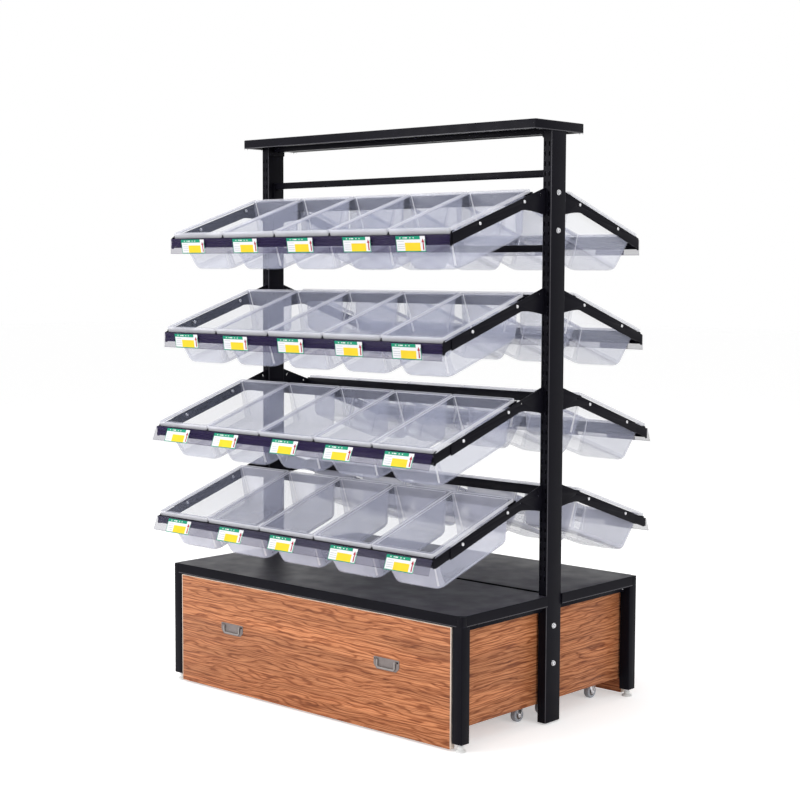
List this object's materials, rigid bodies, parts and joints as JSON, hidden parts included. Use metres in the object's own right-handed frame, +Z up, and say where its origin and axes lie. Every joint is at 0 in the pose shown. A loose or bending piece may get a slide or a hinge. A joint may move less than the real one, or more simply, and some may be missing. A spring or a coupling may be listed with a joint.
{
  "type": "produce display rack",
  "caption": "Double-sided sloping display rack with lift-out clear bins on hooked tier arms, a top shelf, a deck and pull-out stock carts under it.",
  "frame": {"origin": "on the floor under the middle of the rack", "axes": "+X along the rack to the right seen from the front, +Y from front to rear, +Z up"},
  "size_m": [1.2, 1.0516, 1.7336],
  "materials": {
    "powder_coat": "satin black powder coat",
    "deck_coat": "satin dark grey coat",
    "clear_plastic": "clear moulded plastic",
    "wood_laminate": "matt wood-grain laminate",
    "satin_zinc": "satin zinc plate",
    "wheel_plastic": "grey moulded plastic",
    "foot_plastic": "white moulded plastic"
  },
  "bodies": {
    "rack": {"upright_left": "powder_coat", "upright_right": "powder_coat", "base_frame": "powder_coat", "upper_tie_frame": "powder_coat", "top_shelf": "powder_coat", "shelf_beam": "powder_coat", "deck_front": "deck_coat", "deck_rear": "deck_coat", "tier_cradle_front_1": "powder_coat", "tier_cradle_front_2": "powder_coat", "tier_cradle_front_3": "powder_coat", "tier_cradle_front_4": "powder_coat", "tier_cradle_rear_1": "powder_coat", "tier_cradle_rear_2": "powder_coat", "tier_cradle_rear_3": "powder_coat", "tier_cradle_rear_4": "powder_coat"},
    "cart_front": {"cart_panel_front": "wood_laminate", "cart_box_front": "wood_laminate"},
    "cart_rear": {"cart_panel_rear": "wood_laminate", "cart_box_rear": "wood_laminate"},
    "pull_bail_front_left": {"pull_bail_front_left": "satin_zinc"},
    "pull_bail_front_right": {"pull_bail_front_right": "satin_zinc"},
    "pull_bail_rear_left": {"pull_bail_rear_left": "satin_zinc"},
    "pull_bail_rear_right": {"pull_bail_rear_right": "satin_zinc"},
    "foot_front_left": {"foot_front_left": "foot_plastic"},
    "foot_front_right": {"foot_front_right": "foot_plastic"},
    "foot_rear_left": {"foot_rear_left": "foot_plastic"},
    "foot_rear_right": {"foot_rear_right": "foot_plastic"},
    "wheel_front_left_inner": {"wheel_front_left_inner": "wheel_plastic"},
    "wheel_front_left_outer": {"wheel_front_left_outer": "wheel_plastic"},
    "wheel_front_right_inner": {"wheel_front_right_inner": "wheel_plastic"},
    "wheel_front_right_outer": {"wheel_front_right_outer": "wheel_plastic"},
    "wheel_rear_left_inner": {"wheel_rear_left_inner": "wheel_plastic"},
    "wheel_rear_left_outer": {"wheel_rear_left_outer": "wheel_plastic"},
    "wheel_rear_right_inner": {"wheel_rear_right_inner": "wheel_plastic"},
    "wheel_rear_right_outer": {"wheel_rear_right_outer": "wheel_plastic"},
    "bin_front_1_1": {"bin_front_1_1": "clear_plastic"},
    "bin_front_1_2": {"bin_front_1_2": "clear_plastic"},
    "bin_front_1_3": {"bin_front_1_3": "clear_plastic"},
    "bin_front_1_4": {"bin_front_1_4": "clear_plastic"},
    "bin_front_1_5": {"bin_front_1_5": "clear_plastic"},
    "bin_front_2_1": {"bin_front_2_1": "clear_plastic"},
    "bin_front_2_2": {"bin_front_2_2": "clear_plastic"},
    "bin_front_2_3": {"bin_front_2_3": "clear_plastic"},
    "bin_front_2_4": {"bin_front_2_4": "clear_plastic"},
    "bin_front_2_5": {"bin_front_2_5": "clear_plastic"},
    "bin_front_3_1": {"bin_front_3_1": "clear_plastic"},
    "bin_front_3_2": {"bin_front_3_2": "clear_plastic"},
    "bin_front_3_3": {"bin_front_3_3": "clear_plastic"},
    "bin_front_3_4": {"bin_front_3_4": "clear_plastic"},
    "bin_front_3_5": {"bin_front_3_5": "clear_plastic"},
    "bin_front_4_1": {"bin_front_4_1": "clear_plastic"},
    "bin_front_4_2": {"bin_front_4_2": "clear_plastic"},
    "bin_front_4_3": {"bin_front_4_3": "clear_plastic"},
    "bin_front_4_4": {"bin_front_4_4": "clear_plastic"},
    "bin_front_4_5": {"bin_front_4_5": "clear_plastic"},
    "bin_row_rear_1": {"bin_row_rear_1": "clear_plastic"},
    "bin_row_rear_2": {"bin_row_rear_2": "clear_plastic"},
    "bin_row_rear_3": {"bin_row_rear_3": "clear_plastic"},
    "bin_row_rear_4": {"bin_row_rear_4": "clear_plastic"}
  },
  "joints": [
    {"name": "cart_front_roll", "type": "slide", "parent": "rack", "child": "cart_front", "axis": [0, -1, 0], "range_m": [0, 0.42]},
    {"name": "cart_rear_roll", "type": "slide", "parent": "rack", "child": "cart_rear", "axis": [0, 1, 0], "range_m": [0, 0.42]},
    {"name": "pull_bail_front_left_swing", "type": "hinge", "parent": "cart_front", "child": "pull_bail_front_left", "pos_m": [-0.324, -0.42292, 0.2135], "axis": [-1, 0, 0], "range_deg": [0, 90]},
    {"name": "pull_bail_front_right_swing", "type": "hinge", "parent": "cart_front", "child": "pull_bail_front_right", "pos_m": [0.324, -0.42292, 0.2135], "axis": [-1, 0, 0], "range_deg": [0, 90]},
    {"name": "pull_bail_rear_left_swing", "type": "hinge", "parent": "cart_rear", "child": "pull_bail_rear_left", "pos_m": [-0.324, 0.42292, 0.2135], "axis": [1, 0, 0], "range_deg": [0, 90]},
    {"name": "pull_bail_rear_right_swing", "type": "hinge", "parent": "cart_rear", "child": "pull_bail_rear_right", "pos_m": [0.324, 0.42292, 0.2135], "axis": [1, 0, 0], "range_deg": [0, 90]},
    {"name": "foot_front_left_level", "type": "slide", "parent": "rack", "child": "foot_front_left", "axis": [0, 0, -1], "range_m": [0, 0.012]},
    {"name": "foot_front_right_level", "type": "slide", "parent": "rack", "child": "foot_front_right", "axis": [0, 0, -1], "range_m": [0, 0.012]},
    {"name": "foot_rear_left_level", "type": "slide", "parent": "rack", "child": "foot_rear_left", "axis": [0, 0, -1], "range_m": [0, 0.012]},
    {"name": "foot_rear_right_level", "type": "slide", "parent": "rack", "child": "foot_rear_right", "axis": [0, 0, -1], "range_m": [0, 0.012]},
    {"name": "wheel_front_left_inner_spin", "type": "hinge", "parent": "cart_front", "child": "wheel_front_left_inner", "pos_m": [-0.51, -0.058, 0.021], "axis": [1, 0, 0], "continuous": true},
    {"name": "wheel_front_left_outer_spin", "type": "hinge", "parent": "cart_front", "child": "wheel_front_left_outer", "pos_m": [-0.51, -0.306, 0.021], "axis": [1, 0, 0], "continuous": true},
    {"name": "wheel_front_right_inner_spin", "type": "hinge", "parent": "cart_front", "child": "wheel_front_right_inner", "pos_m": [0.51, -0.058, 0.021], "axis": [1, 0, 0], "continuous": true},
    {"name": "wheel_front_right_outer_spin", "type": "hinge", "parent": "cart_front", "child": "wheel_front_right_outer", "pos_m": [0.51, -0.306, 0.021], "axis": [1, 0, 0], "continuous": true},
    {"name": "wheel_rear_left_inner_spin", "type": "hinge", "parent": "cart_rear", "child": "wheel_rear_left_inner", "pos_m": [-0.51, 0.058, 0.021], "axis": [-1, 0, 0], "continuous": true},
    {"name": "wheel_rear_left_outer_spin", "type": "hinge", "parent": "cart_rear", "child": "wheel_rear_left_outer", "pos_m": [-0.51, 0.306, 0.021], "axis": [-1, 0, 0], "continuous": true},
    {"name": "wheel_rear_right_inner_spin", "type": "hinge", "parent": "cart_rear", "child": "wheel_rear_right_inner", "pos_m": [0.51, 0.058, 0.021], "axis": [-1, 0, 0], "continuous": true},
    {"name": "wheel_rear_right_outer_spin", "type": "hinge", "parent": "cart_rear", "child": "wheel_rear_right_outer", "pos_m": [0.51, 0.306, 0.021], "axis": [-1, 0, 0], "continuous": true},
    {"name": "bin_front_1_1_lift", "type": "slide", "parent": "rack", "child": "bin_front_1_1", "axis": [0, -0.3173, 0.9483], "range_m": [0, 0.13]},
    {"name": "bin_front_1_2_lift", "type": "slide", "parent": "rack", "child": "bin_front_1_2", "axis": [0, -0.3173, 0.9483], "range_m": [0, 0.13]},
    {"name": "bin_front_1_3_lift", "type": "slide", "parent": "rack", "child": "bin_front_1_3", "axis": [0, -0.3173, 0.9483], "range_m": [0, 0.13]},
    {"name": "bin_front_1_4_lift", "type": "slide", "parent": "rack", "child": "bin_front_1_4", "axis": [0, -0.3173, 0.9483], "range_m": [0, 0.13]},
    {"name": "bin_front_1_5_lift", "type": "slide", "parent": "rack", "child": "bin_front_1_5", "axis": [0, -0.3173, 0.9483], "range_m": [0, 0.13]},
    {"name": "bin_front_2_1_lift", "type": "slide", "parent": "rack", "child": "bin_front_2_1", "axis": [0, -0.3173, 0.9483], "range_m": [0, 0.13]},
    {"name": "bin_front_2_2_lift", "type": "slide", "parent": "rack", "child": "bin_front_2_2", "axis": [0, -0.3173, 0.9483], "range_m": [0, 0.13]},
    {"name": "bin_front_2_3_lift", "type": "slide", "parent": "rack", "child": "bin_front_2_3", "axis": [0, -0.3173, 0.9483], "range_m": [0, 0.13]},
    {"name": "bin_front_2_4_lift", "type": "slide", "parent": "rack", "child": "bin_front_2_4", "axis": [0, -0.3173, 0.9483], "range_m": [0, 0.13]},
    {"name": "bin_front_2_5_lift", "type": "slide", "parent": "rack", "child": "bin_front_2_5", "axis": [0, -0.3173, 0.9483], "range_m": [0, 0.13]},
    {"name": "bin_front_3_1_lift", "type": "slide", "parent": "rack", "child": "bin_front_3_1", "axis": [0, -0.3173, 0.9483], "range_m": [0, 0.13]},
    {"name": "bin_front_3_2_lift", "type": "slide", "parent": "rack", "child": "bin_front_3_2", "axis": [0, -0.3173, 0.9483], "range_m": [0, 0.13]},
    {"name": "bin_front_3_3_lift", "type": "slide", "parent": "rack", "child": "bin_front_3_3", "axis": [0, -0.3173, 0.9483], "range_m": [0, 0.13]},
    {"name": "bin_front_3_4_lift", "type": "slide", "parent": "rack", "child": "bin_front_3_4", "axis": [0, -0.3173, 0.9483], "range_m": [0, 0.13]},
    {"name": "bin_front_3_5_lift", "type": "slide", "parent": "rack", "child": "bin_front_3_5", "axis": [0, -0.3173, 0.9483], "range_m": [0, 0.13]},
    {"name": "bin_front_4_1_lift", "type": "slide", "parent": "rack", "child": "bin_front_4_1", "axis": [0, -0.3173, 0.9483], "range_m": [0, 0.13]},
    {"name": "bin_front_4_2_lift", "type": "slide", "parent": "rack", "child": "bin_front_4_2", "axis": [0, -0.3173, 0.9483], "range_m": [0, 0.13]},
    {"name": "bin_front_4_3_lift", "type": "slide", "parent": "rack", "child": "bin_front_4_3", "axis": [0, -0.3173, 0.9483], "range_m": [0, 0.13]},
    {"name": "bin_front_4_4_lift", "type": "slide", "parent": "rack", "child": "bin_front_4_4", "axis": [0, -0.3173, 0.9483], "range_m": [0, 0.13]},
    {"name": "bin_front_4_5_lift", "type": "slide", "parent": "rack", "child": "bin_front_4_5", "axis": [0, -0.3173, 0.9483], "range_m": [0, 0.13]},
    {"name": "bin_row_rear_1_lift", "type": "slide", "parent": "rack", "child": "bin_row_rear_1", "axis": [0, 0.3173, 0.9483], "range_m": [0, 0.13]},
    {"name": "bin_row_rear_2_lift", "type": "slide", "parent": "rack", "child": "bin_row_rear_2", "axis": [0, 0.3173, 0.9483], "range_m": [0, 0.13]},
    {"name": "bin_row_rear_3_lift", "type": "slide", "parent": "rack", "child": "bin_row_rear_3", "axis": [0, 0.3173, 0.9483], "range_m": [0, 0.13]},
    {"name": "bin_row_rear_4_lift", "type": "slide", "parent": "rack", "child": "bin_row_rear_4", "axis": [0, 0.3173, 0.9483], "range_m": [0, 0.13]}
  ],
  "couplings": [
    {"joint": "wheel_front_left_inner_spin", "follows": "cart_front_roll", "rad_per_m": 47.619},
    {"joint": "wheel_front_left_outer_spin", "follows": "cart_front_roll", "rad_per_m": 47.619},
    {"joint": "wheel_front_right_inner_spin", "follows": "cart_front_roll", "rad_per_m": 47.619},
    {"joint": "wheel_front_right_outer_spin", "follows": "cart_front_roll", "rad_per_m": 47.619},
    {"joint": "wheel_rear_left_inner_spin", "follows": "cart_rear_roll", "rad_per_m": 47.619},
    {"joint": "wheel_rear_left_outer_spin", "follows": "cart_rear_roll", "rad_per_m": 47.619},
    {"joint": "wheel_rear_right_inner_spin", "follows": "cart_rear_roll", "rad_per_m": 47.619},
    {"joint": "wheel_rear_right_outer_spin", "follows": "cart_rear_roll", "rad_per_m": 47.619}
  ]
}
